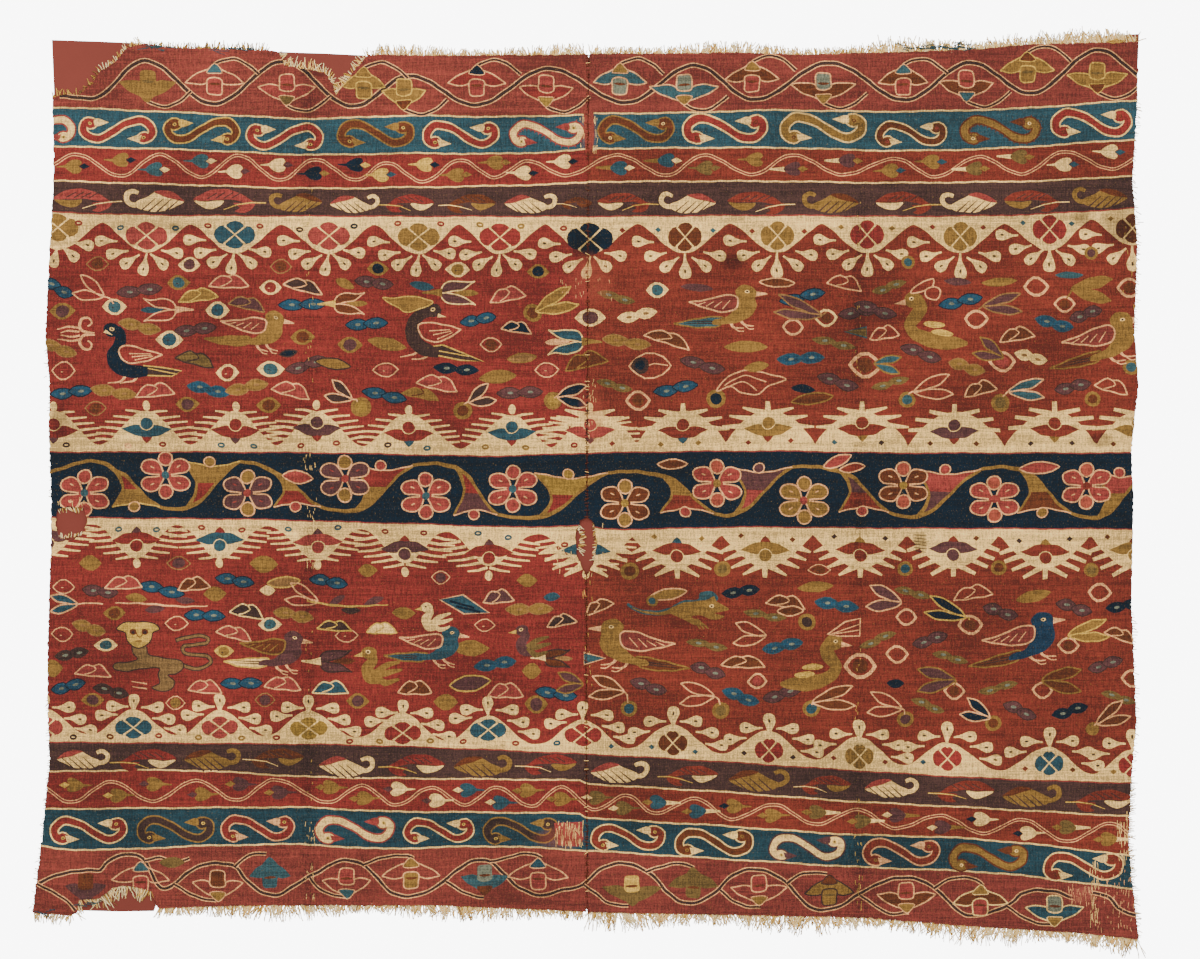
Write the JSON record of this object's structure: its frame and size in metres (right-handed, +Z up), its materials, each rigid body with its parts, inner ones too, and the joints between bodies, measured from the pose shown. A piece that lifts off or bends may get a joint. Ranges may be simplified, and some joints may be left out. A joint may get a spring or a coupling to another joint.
{
  "type": "woven shoulder mantle",
  "caption": "Flat tapestry-woven shoulder mantle of joined panels on a backing cloth, with short warp fringes along its upper and lower edges.",
  "frame": {"origin": "on the surface the mantle lies on, under the middle of its bounding box", "axes": "+X along the long side to the viewer's right, +Y towards the upper edge, +Z up out of the patterned face"},
  "size_m": [1.116, 0.918, 0.0043],
  "materials": {
    "backing": "matt plain-woven cotton, faded brick red",
    "tapestry": "matt ribbed wool tapestry, mostly red, with navy, blue, dark brown, ochre and cream figures",
    "warp_yarn": "matt undyed cotton warp ends, straw cream"
  },
  "bodies": {
    "root": {"backing_cloth": "backing", "left_panel": "tapestry", "right_panel": "tapestry", "fringe_top_left": "warp_yarn", "fringe_top_middle": "warp_yarn", "fringe_top_right": "warp_yarn", "fringe_bottom_left": "warp_yarn", "fringe_bottom_middle": "warp_yarn", "fringe_bottom_right": "warp_yarn"}
  },
  "joints": []
}
